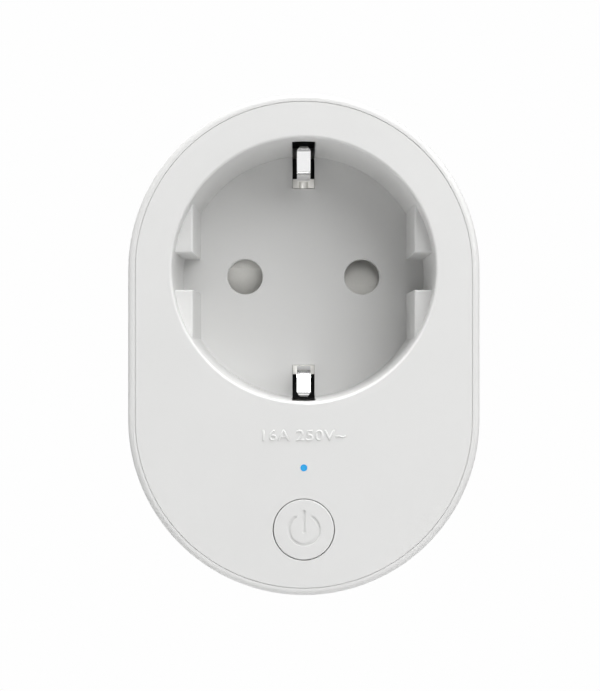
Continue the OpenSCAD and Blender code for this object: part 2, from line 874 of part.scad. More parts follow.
module film_capacitor() {
    color("#d9b43a") box([0.2, y_board - 11, board_top - 6], [13.2, y_board - 0.1, board_top - 1]);
}

module electrolytic_capacitors() {
    color("#2b3350") for (p = [[4, cap_z], [-3.6, cap_z - 1.4]])
        difference() {
            rod(3.1, y_board - 11.4, y_board - 0.1, p[0], p[1]);
            turned(y_board - 1.6, p[0], p[1]) translate([3.25, 0]) circle(0.4, $fn = 24);
        }
}

// Drum core with its winding
module choke() {
    x = 11.9;
    z = header_z + 2.4;
    color("#7a4a21") {
        rod(2.9, y_board - 1.3, y_board - 0.1, x, z);
        rod(2.3, y_board - 6.8, y_board - 1.2, x, z);
        rod(2.9, y_board - 7.9, y_board - 6.7, x, z);
    }
}

module bridge_rectifier() {
    color("#202224") box([0.2, y_board - 2.6, board_top - 10.4], [6.4, y_board - 0.1,
        board_top - 7]);
}

// Cylinder lying on the board, with leads bent down at both ends
module fuse_resistor() {
    x = 9;
    z = cap_z;
    color("#4f7f63") translate([x, y_board - 2, z]) cylinder(r = 1.7, h = 5.6, center = true);
    color("silver") for (side = [-1, 1]) box([x - 0.3, y_board - 2.3, z + 3.1 * side - 0.4],
        [x + 0.3, y_board - 0.02, z + 3.1 * side + 0.4]);
}

module board_chips() {
    color("#1b1c1e") {
        box([-10.4, y_board - 1.6, cap_z - 2.6], [-6.9, y_board - 0.1, cap_z + 0.1]);
        for (i = [0 : 3]) box([0.4 + 1.7 * i, y_board - 0.7, header_z - 1.5],
            [1.3 + 1.7 * i, y_board - 0.05, header_z - 0.7]);
    }
}

// ---- control board ----

module control_board() {
    color("#1f6b3a") difference() {
        plate(y_ctrl, y_ctrl_back) {
            translate([-10.2, z_button - 4.3]) square([20.4, 9.1]);
            translate([-1.1, z_button + 4.7]) square([14.4, lamp_up]);
        }
        post_places() rod(0.8, y_ctrl - 1, y_ctrl_back + 1);
        for (i = [0 : 4]) rod(0.45, y_ctrl - 1, y_ctrl_back + 1, header_x(i), header_z);
    }
}

function header_x(i) = header_x0 + header_pitch * i;

// Five pins and their plastic strip between the two boards
module board_header() {
    color("gold") for (i = [0 : 4]) rod(header_pin_r, y_ctrl - 0.6, y_board - 0.02, header_x(i),
        header_z);
    color("#1b1c1e") difference() {
        box([header_x(0) - 1.1, y_ctrl_back + 0.05, header_z - 1.1], [header_x(4) + 1.1,
            y_ctrl_back + 2.1, header_z + 1.1]);
        for (i = [0 : 4]) rod(header_pin_r, y_ctrl, y_board, header_x(i), header_z);
    }
}

// Radio board that stands on the power board beside the casing wall
module wifi_board() {
    color("#20242c") box([wifi_x, y_board - wifi_l, board_top - 11.4], [wifi_x + wifi_t,
        y_board - 0.05, board_top]);
}

module wifi_shield() {
    color("silver") difference() {
        box([wifi_x + wifi_t, y_board - 10.4, board_top - 10.2], [wifi_x + wifi_t + 2.2,
            y_board - 1.4, board_top - 1.2]);
        box([wifi_x + wifi_t - 1, y_board - 10.15, board_top - 9.95], [wifi_x + wifi_t + 1.95,
            y_board - 1.65, board_top - 1.45]);
    }
}

module switch_body() {
    color("#d8dade") difference() {
        box([-switch_w / 2, y_ctrl - switch_h, z_button - switch_w / 2], [switch_w / 2,
            y_ctrl - 0.02, z_button + switch_w / 2]);
        rod(plunger_r + 0.1, y_ctrl - switch_h - 1, y_ctrl - 0.4, 0, z_button);
    }
}

module switch_plunger() {
    color("#26282b") rod(plunger_r, y_ctrl - 2.6, y_ctrl - 0.9, 0, z_button);
}

module status_lamp() {
    color("#dff1ff") box([-0.8, y_ctrl - lamp_h, z_lamp - 0.4], [0.8, y_ctrl - 0.02, z_lamp + 0.4]);
}

// ---- button and light pipe ----

// Groove of the power symbol: a ring open at the top, and a bar in the opening
module symbol_groove() {
    open = 35;
    r = symbol_w / 2;
    translate([0, y_face, z_button]) rotate([90, 0, 0]) translate([0, 0, -symbol_depth]) {
        rotate([0, 0, 90 + open]) rotate_extrude(angle = 360 - 2 * open) translate([symbol_r - r, 0])
            square([symbol_w, 1]);
        for (side = [-1, 1]) rotate([0, 0, 90 + side * open]) translate([symbol_r, 0, 0])
            cylinder(r = r, h = 1, $fn = 32);
        translate([-r, -0.3, 0]) cube([symbol_w, 3, 1]);
        for (z = [-0.3, 2.7]) translate([0, z, 0]) cylinder(r = r, h = 1, $fn = 32);
    }
}

module power_button() {
    color("white") difference() {
        union() {
            turned(y_face + button_t, 0, z_button) difference() {
                square([button_r, button_t]);
                translate([button_r - 0.15, button_t - 0.15]) corner_cut(0.15, 1);
            }
            rod(button_r, y_face + button_t - e, y_lip + e, 0, z_button);
            rod(button_lip_r, y_lip, y_stem, 0, z_button);
            rod(1.6, y_stem - e, y_ctrl - 2.65, 0, z_button);
        }
        symbol_groove();
    }
}

module light_pipe() {
    color("#35b4f5") {
        rod(pipe_r, y_face + 0.02, y_panel + e, 0, z_lamp);
        rod(pipe_body_r, y_panel, y_ctrl - lamp_h - 0.2, 0, z_lamp);
    }
}

// ---- busbars ----

// Plate with a hole for a pin's rivet
module bus_eye(x) {
    plate(y_collar - strap_t, y_collar) difference() {
        union() {
            translate([x - busbar_w / 2, run_z]) square([busbar_w, -run_z]);
            translate([x, 0]) circle(rivet_r + 0.3);
        }
        translate([x, 0]) circle(rivet_neck_r + 0.05);
    }
}

// Run from the pin's plate forward and down behind the board
module bus_run(x, y_end) {
    box([x - busbar_w / 2, y_run, run_z], [x + busbar_w / 2, y_end, run_z + strap_t]);
    box([x - busbar_w / 2, y_run, bus_end_z], [x + busbar_w / 2, y_run + strap_t, run_z + e]);
}

// Plate under a sleeve
module sleeve_plate(x_low, x_high, z_low_edge) {
    box([x_low, y_sleeve_base, z_low_edge], [x_high, y_strap_base, plate_top]);
}

module live_busbar() {
    color("#c98a4b") {
        bus_eye(live_x);
        bus_run(live_x, y_collar - e);
    }
}

module neutral_busbar() {
    color("#c98a4b") {
        bus_eye(x_pin);
        bus_run(x_pin, y_collar - e);
        sleeve_plate(x_pin - busbar_w / 2, x_pin + busbar_w / 2, run_z + e);
    }
}

module switched_live_strap() {
    w = switched_w / 2;
    z = -block_z - 1.1;
    y_step = y_deck_back + 0.1;
    step_z = -deck_r - 1;
    color("#c98a4b") {
        sleeve_plate(live_x - plate_half, live_x + plate_half, -2);
        box([live_x - plate_half, y_sleeve_base, -4], [switched_x + w, y_strap_base, -1.9]);
        box([switched_x - w, y_sleeve_base, z], [switched_x + w, y_strap_base, -3.9]);
        box([switched_x - w, y_step, z], [switched_x + w, y_strap_base, z + strap_t]);
        box([switched_x - w, y_step, step_z], [switched_x + w, y_step + strap_t, z + e]);
        box([switched_x - w, min(y_run, y_step), step_z],
            [switched_x + w, max(y_run, y_step) + strap_t, step_z + strap_t]);
        box([switched_x - w, y_run, bus_end_z + 1.5], [switched_x + w, y_run + strap_t, step_z + e]);
    }
}

// ---- screws ----

// A pan head with a cross recess on a plain shank
module screw(r, head, head_h, y_head, y_tip) {
    difference() {
        union() {
            rod(head, y_head - head_h, y_head);
            rod(r, y_tip, y_head - head_h + e);
        }
        for (a = [0, 90]) rotate([0, a, 0]) box([-head * 0.6, y_head - head_h * 0.5, -0.3],
            [head * 0.6, y_head + 1, 0.3]);
    }
}

module casing_screws() {
    color("dimgray") screw_places()
        screw(screw_shank_r, head_r, head_t, y_seat + head_t, y_board - 8);
}

module carrier_screws() {
    color("dimgray") carrier_screw_places()
        screw(carrier_shank_r, carrier_head_r, carrier_head_t, y_wing + carrier_head_t,
            y_floor_back - 8);
}

outer_casing();
front_panel();
plug_body();
power_button();
light_pipe();
live_pin();
neutral_pin();
upper_earth_strip();
lower_earth_strip();
earth_receptacle();
earth_bridge();
upper_earth_spring();
lower_earth_spring();
live_contact();
neutral_contact();
shutter();
shutter_spring();
contact_carrier();
power_board();
relay_case();
relay_base();
relay_coil();
relay_yoke();
relay_armature();
varistor();
film_capacitor();
electrolytic_capacitors();
choke();
bridge_rectifier();
fuse_resistor();
board_chips();
control_board();
wifi_board();
wifi_shield();
board_header();
switch_body();
switch_plunger();
status_lamp();
live_busbar();
neutral_busbar();
switched_live_strap();
casing_screws();
carrier_screws();
insulating_sheet();
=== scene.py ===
# %% [markdown]
# # A smart plug on a white sweep
#
# This notebook dresses a finished CAD model: a wall plug with an earthed round socket in front, a
# push button and a small blue lamp. The shapes come from the CAD, in metres, and stay as they are.
# What is left to make here is the light, the camera, the finish of every material, and the shallow
# lettering that is too fine to be worth a solid. The parts inside get their finishes too, since the
# model can be opened and looked at piece by piece.
#
# ## Loading the frame
#
# The piece's own mesh already holds that place, so nothing is moved afterwards.

import math

import bpy
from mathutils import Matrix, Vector


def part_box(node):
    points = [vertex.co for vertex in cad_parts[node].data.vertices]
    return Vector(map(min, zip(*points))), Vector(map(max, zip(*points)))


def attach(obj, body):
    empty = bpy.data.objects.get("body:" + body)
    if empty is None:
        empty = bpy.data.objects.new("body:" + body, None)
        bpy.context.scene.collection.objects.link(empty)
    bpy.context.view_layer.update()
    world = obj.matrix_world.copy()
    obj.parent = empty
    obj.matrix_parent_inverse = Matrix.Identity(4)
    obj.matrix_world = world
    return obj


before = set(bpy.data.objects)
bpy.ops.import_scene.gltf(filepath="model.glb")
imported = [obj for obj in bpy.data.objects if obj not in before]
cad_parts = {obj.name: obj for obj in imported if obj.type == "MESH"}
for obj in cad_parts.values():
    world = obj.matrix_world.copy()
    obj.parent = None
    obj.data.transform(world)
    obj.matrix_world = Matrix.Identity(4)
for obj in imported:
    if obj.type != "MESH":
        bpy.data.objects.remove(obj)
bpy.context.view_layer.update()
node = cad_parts
scene = bpy.context.scene

# %% [markdown]
# ## Camera
#
# A product like this is shown straight on. The camera stands 217 mm before the plug's origin, level,
# a little below the middle of the socket, with a rather long lens, so the socket's walls and the
# sides of the key blocks can just be seen. Depth of field stays off.

# %% Camera
MM = 0.001
lens = bpy.data.cameras.new("studio_camera")
lens.sensor_fit = "VERTICAL"
lens.sensor_height = 36
lens.lens = 60.83
lens.clip_start = 0.01
camera = bpy.data.objects.new("studio_camera", lens)
camera.location = (-0.566 * MM, -217.1 * MM, -11.16 * MM)
camera.rotation_euler = (math.radians(90), 0, 0)
scene.collection.objects.link(camera)
scene.camera = camera
print("camera at", tuple(camera.location))

# %% [markdown]
# ## Colour and node helpers
#
# Colours are picked as sRGB hex, the way a paint chip or a screen gives them, and one function
# turns them into the linear values that the renderer works with. One more function adds a node with
# its settings and its links. The "Standard" view shows linear values without a film curve, which
# keeps a white product white.

# %% Colour and node helpers
scene.view_settings.view_transform = "Standard"


def linear(hex_code):
    """An sRGB hex colour such as "#E6E6E4" as linear red, green, blue and alpha."""
    levels = [int(hex_code[i : i + 2], 16) / 255 for i in (1, 3, 5)]
    return tuple(v / 12.92 if v <= 0.04045 else ((v + 0.055) / 1.055) ** 2.4 for v in levels) + (1,)


def add(tree, kind, links=None, **settings):
    """Adds a node. Links maps each socket to a value or to another node's output."""
    made = tree.nodes.new(kind)
    for name, value in settings.items():
        setattr(made, name, value)
    for socket, source in (links or {}).items():
        if isinstance(source, bpy.types.NodeSocket):
            tree.links.new(source, made.inputs[socket])
        else:
            made.inputs[socket].default_value = source
    return made


def per_metre(size_mm):
    """Texture scale for a pattern whose features are size_mm across."""
    return 1 / (size_mm * MM)


print("white is", linear("#FFFFFF"), "and a 0.2 mm grain has scale", per_metre(0.2))

# %% [markdown]
# ## Starting a material
#
# Every material here is one Principled shader. Whatever is the same all over the surface, such as the
# index of refraction, is set on the shader itself. What changes over the surface is drawn by nodes
# that read the object's own coordinates, in metres, so a pattern's scale is a real size.

# %% Start a material


def begin(name, **fixed):
    """A new material: its node tree, its shader and the surface's own coordinates."""
    material = bpy.data.materials.new(name)
    material.use_nodes = True
    tree = material.node_tree
    tree.nodes.clear()
    sockets = {key.replace("_", " ").title().replace("Ior", "IOR"): value for key, value in fixed.items()}
    shader = add(tree, "ShaderNodeBsdfPrincipled", sockets)
    add(tree, "ShaderNodeOutputMaterial", {"Surface": shader.outputs["BSDF"]})
    place = add(tree, "ShaderNodeTexCoord").outputs["Object"]
    return material, tree, shader, place


def dress(material, *names):
    """Gives a material to CAD pieces."""
    for name in names:
        node[name].data.materials.clear()
        node[name].data.materials.append(material)
    print(material.name, "on", ", ".join(names))


# %% [markdown]
# ## Moulded plastics
#
# Most of the plug is injection moulded, in steel moulds whose faces were spark eroded to a fine,
# even texture. The eye sees a soft satin: no mirror image, only a broad sheen, and a grain that
# shows near an edge. One function makes them all, because they differ in colour, grain and gloss
# only. A fine noise is the grain, and shifts the gloss and the relief together. The pits of the
# grain trap some of the mirrored light, so the specular level is set a little below that of a
# smooth moulding. A second, much larger noise shifts the colour by a trace, as the flow of the melt
# does.

# %% Moulded plastics


def moulded(name, light, shade, grain_mm, roughness, ior=1.58, relief_mm=0.02, flow_mm=14):
    """A spark-textured moulding whose colour drifts between light and shade."""
    material, tree, shader, place = begin(name, ior=ior, metallic=0.0, specular_ior_level=0.35)
    flow = add(tree, "ShaderNodeTexNoise", {"Vector": place, "Scale": per_metre(flow_mm)})
    tint = add(
        tree,
        "ShaderNodeMix",
        {"Factor": flow.outputs["Fac"], "A": linear(light), "B": linear(shade)},
        data_type="RGBA",
    )
    tree.links.new(tint.outputs["Result"], shader.inputs["Base Color"])
    grain = add(
        tree, "ShaderNodeTexNoise", {"Vector": place, "Scale": per_metre(grain_mm), "Detail": 3.0}
    )
    gloss = add(
        tree,
        "ShaderNodeMapRange",
        {"Value": grain.outputs["Fac"], "To Min": roughness - 0.06, "To Max": roughness + 0.06},
    )
    tree.links.new(gloss.outputs["Result"], shader.inputs["Roughness"])
    relief = add(
        tree,
        "ShaderNodeBump",
        {"Height": grain.outputs["Fac"], "Strength": 0.25, "Distance": relief_mm * MM},
    )
    tree.links.new(relief.outputs["Normal"], shader.inputs["Normal"])
    return material


# %% [markdown]
# ## White polycarbonate casing and button
#
# The casing and the front panel are white polycarbonate. The real grain is about 0.1 mm; it is drawn
# at 0.16 mm so that it still shows. The button is the same plastic from a finer mould face, so it
# shines a little more.

# %% White polycarbonate
casing_white = moulded("spark_textured_white_polycarbonate", "#E2E2E1", "#DEDEDD", 0.16, 0.46)
dress(casing_white, "outer_casing", "front_panel")
button_white = moulded("fine_textured_white_polycarbonate", "#E1E1E0", "#DEDEDD", 0.12, 0.4)
dress(button_white, "power_button")

# %% [markdown]
# ## Black polyester inside
#
# The carrier behind the front panel holds the contacts, so it is black PBT polyester, which stands the
# heat of a loose contact. It shows through the two narrow windows behind the earth springs. The push
# switch's plunger is moulded from the same plastic. PBT crystallises as it cools, which leaves a
# slightly mottled, waxy black.

# %% Black polyester
carrier_black = moulded(
    "spark_textured_black_pbt", "#151617", "#1E1F20", 0.2, 0.5, relief_mm=0.03, flow_mm=5
)
dress(carrier_black, "contact_carrier")
plunger_black = moulded(
    "fine_textured_black_pbt", "#1A1B1C", "#222324", 0.1, 0.4, relief_mm=0.01, flow_mm=2
)
dress(plunger_black, "switch_plunger")

# %% [markdown]
# ## Glass-filled white plug body
#
# The plug body holds the live pins and the shutter covers the live contacts, so both are moulded from
# polyamide with glass fibre, which does not creep. Its white is a little warmer and duller, and the
# fibres leave faint short streaks along the way the plastic ran into the mould. A noise that is
# stretched four times along that way draws them.

# %% Glass-filled polyamide
insert_white, tree, shader, place = begin("glass_filled_white_polyamide", ior=1.54, metallic=0.0)
stretch = add(tree, "ShaderNodeMapping", {"Vector": place, "Scale": (1, 0.25, 1)})
fibre = add(
    tree,
    "ShaderNodeTexNoise",
    {"Vector": stretch.outputs["Vector"], "Scale": per_metre(0.35), "Detail": 4.0, "Roughness": 0.6},
)
warm = add(
    tree,
    "ShaderNodeMix",
    {"Factor": fibre.outputs["Fac"], "A": linear("#DEDDD8"), "B": linear("#E6E5E1")},
    data_type="RGBA",
)
tree.links.new(warm.outputs["Result"], shader.inputs["Base Color"])
dull = add(tree, "ShaderNodeMapRange", {"Value": fibre.outputs["Fac"], "To Min": 0.48, "To Max": 0.62})
tree.links.new(dull.outputs["Result"], shader.inputs["Roughness"])
relief = add(
    tree,
    "ShaderNodeBump",
    {"Height": fibre.outputs["Fac"], "Strength": 0.3, "Distance": 0.02 * MM},
)
tree.links.new(relief.outputs["Normal"], shader.inputs["Normal"])
dress(insert_white, "plug_body", "shutter")

# %% [markdown]
# ## Blue light pipe
#
# A clear acrylic rod carries the light of a small blue lamp to the front face. Lit, its end is a flat
# blue disc, brightest in the middle and deeper at its rim, where less light leaves the rod. The disc
# must look lit without throwing light on its surroundings, so its emission is close to the white of a
# sheet of paper in the same light. The rod's axis is known from the CAD, and the distance from it
# drives the colour.

# %% Light pipe
pipe_low, pipe_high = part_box("light_pipe")
pipe_axis = (pipe_low + pipe_high) / 2
pipe_radius = (pipe_high.x - pipe_low.x) / 2
lit_blue, tree, shader, place = begin("lit_clear_acrylic", ior=1.49, roughness=0.12)
from_axis = add(
    tree,
    "ShaderNodeMapping",
    {"Vector": place, "Location": (-pipe_axis.x, 0, -pipe_axis.z), "Scale": (1, 0, 1)},
)
distance = add(tree, "ShaderNodeVectorMath", {0: from_axis.outputs["Vector"]}, operation="LENGTH")
toward_rim = add(
    tree,
    "ShaderNodeMapRange",
    {"Value": distance.outputs["Value"], "From Min": 0.1 * pipe_radius, "From Max": 0.62 * pipe_radius},
    interpolation_type="SMOOTHSTEP",
)
glow = add(
    tree,
    "ShaderNodeMix",
    {"Factor": toward_rim.outputs["Result"], "A": linear("#34B0EE"), "B": linear("#2897DA")},
    data_type="RGBA",
)
shader.inputs["Base Color"].default_value = linear("#123F63")
shader.inputs["Emission Strength"].default_value = 0.8
tree.links.new(glow.outputs["Result"], shader.inputs["Emission Color"])
dress(lit_blue, "light_pipe")

# %% [markdown]
# ## Worked metals
#
# Every metal part was rolled, turned, drawn or blanked, and each way of working leaves fine lines that
# run one way: rings round a turned pin, long streaks along a rolled strip. Lines are a noise with
# a different spacing along each axis: short across the lines and long along them. The lines move the
# gloss and the relief, and a broad, faint noise stains the colour as handling and air do. The metal's
# index of refraction stays at the default, because its colour already says how it reflects.

# %% Worked metals


def worked_metal(name, light, stained, spacing_mm, roughness, relief_mm=0.004, stain_mm=6):
    """A metal whose working lines are spacing_mm apart along x, y and z."""
    material, tree, shader, place = begin(name, metallic=1.0)
    stain = add(
        tree, "ShaderNodeTexNoise", {"Vector": place, "Scale": per_metre(stain_mm), "Detail": 3.0}
    )
    tone = add(
        tree,
        "ShaderNodeMix",
        {"Factor": stain.outputs["Fac"], "A": linear(light), "B": linear(stained)},
        data_type="RGBA",
    )
    tree.links.new(tone.outputs["Result"], shader.inputs["Base Color"])
    drawn_out = add(
        tree,
        "ShaderNodeMapping",
        {"Vector": place, "Scale": tuple(per_metre(spacing) for spacing in spacing_mm)},
    )
    lines = add(tree, "ShaderNodeTexNoise", {"Vector": drawn_out.outputs["Vector"], "Scale": 1.0})
    gloss = add(
        tree,
        "ShaderNodeMapRange",
        {"Value": lines.outputs["Fac"], "To Min": roughness - 0.07, "To Max": roughness + 0.07},
    )
    tree.links.new(gloss.outputs["Result"], shader.inputs["Roughness"])
    relief = add(
        tree,
        "ShaderNodeBump",
        {"Height": lines.outputs["Fac"], "Strength": 0.3, "Distance": relief_mm * MM},
    )
    tree.links.new(relief.outputs["Normal"], shader.inputs["Normal"])
    return material


# %% [markdown]
# ## Pins, earth strips and contacts
#
# The pins are turned from brass bar and plated with bright nickel, a slightly warm grey. A lathe leaves
# rings about 0.05 mm apart; they are drawn 0.18 mm apart so that they show. The side strips, the
# earth receptacle and the bridge that holds the earth springs are rolled brass with the same plating.
# The socket's own contacts are bare phosphor bronze, which keeps its spring when warm and shows its
# reddish gold.

# %% Pins, strips and contacts
pin_nickel = worked_metal("turned_nickel_plated_brass", "#CFCBC2", "#BDB8AD", (5, 0.18, 5), 0.24)
dress(pin_nickel, "live_pin", "neutral_pin")
strip_nickel = worked_metal("rolled_nickel_plated_brass", "#CBC7BE", "#B8B3A8", (0.12, 6, 0.12), 0.3)
dress(strip_nickel, "upper_earth_strip", "lower_earth_strip", "earth_receptacle")
bridge_nickel = worked_metal("blanked_nickel_plated_brass", "#F2F1ED", "#E6E4DF", (0.14, 0.5, 6), 0.32)
dress(bridge_nickel, "earth_bridge")
contact_bronze = worked_metal("rolled_phosphor_bronze", "#CE9A6A", "#B57D50", (0.15, 4, 0.15), 0.33)
dress(contact_bronze, "live_contact", "neutral_contact")

# %% [markdown]
# ## Earth springs
#
# The two side springs are pressed from bright rolled spring steel. In front they and the foot of the
# bridge below each are the metal that shows, and what the eye sees in them is the white room: a tilted
# face is white, a face that looks back into the black window is dark. So the steel is smooth, with
# faint lines along the strip. The shutter's leaf spring is the same steel.

# %% Spring steel
spring_steel = worked_metal(
    "bright_rolled_spring_steel", "#EDEDED", "#E2E2E3", (0.1, 3, 3), 0.13, stain_mm=3
)
dress(spring_steel, "upper_earth_spring", "lower_earth_spring", "shutter_spring")

# %% [markdown]
# ## Copper busbars
#
# The busbars and the strap are copper strip, slit and blanked, with rolling lines along the strip.
# Bare copper darkens towards brown where it was handled.

# %% Copper busbars
bar_copper = worked_metal("rolled_copper_strip", "#D58E6B", "#A9623F", (0.12, 0.4, 5), 0.32, stain_mm=4)
dress(bar_copper, "live_busbar", "neutral_busbar", "switched_live_strap")

# %% [markdown]
# ## Screws, iron and shield
#
# The screws are steel with thin clear zinc, and the thread's rolling leaves rings. The relay's yoke and
# armature are soft iron, blanked and zinc plated, with a duller bloom. The radio's shield is drawn
# from tin-plated sheet, which is whiter and softer.

# %% Screws, iron and shield
screw_zinc = worked_metal("thread_rolled_zinc_plated_steel", "#8D8F92", "#707275", (4, 0.3, 4), 0.36)
dress(screw_zinc, "casing_screws", "carrier_screws")
relay_iron = worked_metal("blanked_zinc_plated_iron", "#B9BBBD", "#9EA0A3", (0.25, 0.25, 2), 0.42)
dress(relay_iron, "relay_yoke", "relay_armature")
shield_tin = worked_metal("drawn_tin_plate", "#D3D3D0", "#BFC0BE", (2, 0.2, 2), 0.38, stain_mm=3)
dress(shield_tin, "wifi_shield")

# %% [markdown]
# ## Two finishes on one piece
#
# Several small components have a moulded or dipped body with tinned leads. They stay one piece, and a
# mask made from the height along one axis says where the second finish begins. `band` gives 1 within
# half a width of a middle and 0 outside it, so a body, a winding or a printed ring is one line each.

# %% Masks by place
TINNED_LEAD = "#C9C9C6"


def band(tree, along, middle_mm, half_mm):
    """1 where a coordinate lies within half_mm of middle_mm, otherwise 0."""
    compare = add(
        tree,
        "ShaderNodeMath",
        {0: along, 1: middle_mm * MM, 2: half_mm * MM},
        operation="COMPARE",
    )
    return compare.outputs["Value"]


def painted(tree, mask, under, over):
    """The colour over where the mask is 1, and under elsewhere. Each is a hex code or an output."""
    sides = [linear(side) if isinstance(side, str) else side for side in (under, over)]
    mixed = add(tree, "ShaderNodeMix", {"Factor": mask, "A": sides[0], "B": sides[1]}, data_type="RGBA")
    return mixed.outputs["Result"]


def two_part(name, body_hex, metal_hex, axis, middle_mm, half_mm, roughness, grain_mm):
    """A body in a band along one axis, with metal beyond it."""
    material, tree, shader, place = begin(name, ior=1.55)
    along = add(tree, "ShaderNodeSeparateXYZ", {0: place}).outputs[axis]
    inside = band(tree, along, middle_mm, half_mm)
    grain = add(
        tree, "ShaderNodeTexNoise", {"Vector": place, "Scale": per_metre(grain_mm), "Detail": 3.0}
    )
    shade = painted(tree, grain.outputs["Fac"], body_hex[0], body_hex[1])
    tree.links.new(painted(tree, inside, metal_hex, shade), shader.inputs["Base Color"])
    bare = add(tree, "ShaderNodeMath", {0: 1.0, 1: inside}, operation="SUBTRACT")
    tree.links.new(bare.outputs["Value"], shader.inputs["Metallic"])
    gloss = add(
        tree,
        "ShaderNodeMapRange",
        {"Value": grain.outputs["Fac"], "To Min": roughness - 0.06, "To Max": roughness + 0.06},
    )
    tree.links.new(gloss.outputs["Result"], shader.inputs["Roughness"])
    relief = add(
        tree,
        "ShaderNodeBump",
        {"Height": grain.outputs["Fac"], "Strength": 0.35, "Distance": 0.02 * MM},
    )
    tree.links.new(relief.outputs["Normal"], shader.inputs["Normal"])
    return material, tree, shader, along


def span(name, axis):
    """The lowest and highest coordinate of a CAD piece along x, y or z, in millimetres."""
    low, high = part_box(name)
    return [round(getattr(corner, axis) / MM, 3) for corner in (low, high)]


# %% [markdown]
# ## Relay
#
# A relay of this size has a blue moulded cover, a dark base with tinned terminals, and a coil of fine
# enamelled copper on a plastic bobbin. The base's plastic is 1.5 mm thick, 0.15 mm above the board, so
# the band is set from there. The wire is drawn 0.22 mm thick, three times the real one, as rings that
# a sine of the height makes.

# %% Relay cover and base
board_face = span("power_board", "y")[0]
cover_blue = moulded(
    "spark_textured_blue_pbt", "#2A63A8", "#24588F", 0.2, 0.42, relief_mm=0.03, flow_mm=6
)
dress(cover_blue, "relay_case")
BASE_MIDDLE = board_face - 0.9
BASE_HALF = 0.76
base_dark, *_ = two_part(
    "phenolic_base_with_tinned_terminals",
    ("#2B2E33", "#3A3E44"),
    TINNED_LEAD,
    "Y",
    BASE_MIDDLE,
    BASE_HALF,
    0.5,
    0.3,
)
dress(base_dark, "relay_base")

# %% [markdown]
# ## Windings
#
# Enamelled wire looks deep copper with a clear gloss, and a winding is its close rings. The colour of
# each
# turn follows a sine of the height: painted shade darkens the groove between turns, and a painted
# highlight lightens each crown, on top of the real relief. The coil sits between the bobbin's two
# flanges, and the choke's wire between two ferrite discs, so the same finish serves both, with different
# ends.

# %% Windings


def winding(name, wire_and_painted_shade_hex, end_hex, middle_mm, half_mm, wire_mm):
    """Close turns of enamelled wire round the y axis, between two end discs."""
    material, tree, shader, place = begin(name, ior=1.5, coat_weight=0.4, coat_roughness=0.15)
    along = add(tree, "ShaderNodeSeparateXYZ", {0: place}).outputs["Y"]
    wound = band(tree, along, middle_mm, half_mm)
    turns = add(
        tree,
        "ShaderNodeMath",
        {0: along, 1: 2 * math.pi * per_metre(wire_mm)},
        operation="MULTIPLY",
    )
    crown = add(tree, "ShaderNodeMath", {0: turns.outputs["Value"]}, operation="SINE")
    groove = add(tree, "ShaderNodeMapRange", {"Value": crown.outputs["Value"], "From Min": -1.0})
    # Painted shade and painted highlight: the first wire colour goes into the grooves, the second onto
    # the crowns.
    wire = painted(tree, groove.outputs["Result"], wire_and_painted_shade_hex[0], wire_and_painted_shade_hex[1])
    speckle = add(tree, "ShaderNodeTexNoise", {"Vector": place, "Scale": per_metre(0.3), "Detail": 3.0})
    ends = painted(tree, speckle.outputs["Fac"], end_hex[0], end_hex[1])
    tree.links.new(painted(tree, wound, ends, wire), shader.inputs["Base Color"])
    shine = add(tree, "ShaderNodeMath", {0: wound, 1: 0.8}, operation="MULTIPLY")
    tree.links.new(shine.outputs["Value"], shader.inputs["Metallic"])
    gloss = add(
        tree, "ShaderNodeMapRange", {"Value": speckle.outputs["Fac"], "To Min": 0.28, "To Max": 0.42}
    )
    tree.links.new(gloss.outputs["Result"], shader.inputs["Roughness"])
    height = add(tree, "ShaderNodeMath", {0: groove.outputs["Result"], 1: wound}, operation="MULTIPLY")
    relief = add(
        tree,
        "ShaderNodeBump",
        {"Height": height.outputs["Value"], "Strength": 0.8, "Distance": wire_mm * MM / 2},
    )
    tree.links.new(relief.outputs["Normal"], shader.inputs["Normal"])
    return material


COIL_FLANGE = 0.88
coil_low, coil_high = span("relay_coil", "y")
# Wire colours: painted shade in the grooves, then the painted highlight on the crowns.
coil_copper = winding(
    "enamelled_copper_on_bobbin",
    ("#7A3E1E", "#C67B47"),
    ("#C9C6BC", "#BDB9AE"),
    (coil_low + coil_high) / 2,
    (coil_high - coil_low) / 2 - COIL_FLANGE,
    0.22,
)
dress(coil_copper, "relay_coil")
CHOKE_FLANGE = 1.18
choke_low, choke_high = span("choke", "y")
# Wire colours: painted shade in the grooves, then the painted highlight on the crowns.
choke_copper = winding(
    "enamelled_copper_on_ferrite",
    ("#5E3317", "#A9683A"),
    ("#3A3B3D", "#4A4B4C"),
    (choke_low + choke_high) / 2,
    (choke_high - choke_low) / 2 - CHOKE_FLANGE,
    0.3,
)
dress(choke_copper, "choke")

# %% [markdown]
# ## Printed circuit boards
#
# A board is woven glass and epoxy under a glossy solder mask. Through the mask its copper tracks show
# as a lighter tint, and pads are tinned where the mask is open. Tracks here are bands 1.2 mm apart that
# run one way in some areas and the other way in the rest, as a router lays them; square cells choose
# the way. Pads are dots on the usual 2.54 mm grid, kept only where a noise is high. The weave is too
# fine to see, and is drawn as a faint grid 0.5 mm apart.

# %% Circuit boards
ROUTED_CELL = 5.5
TRACK_PITCH = 1.2
PAD_PITCH = 2.54
WEAVE_PITCH = 0.5


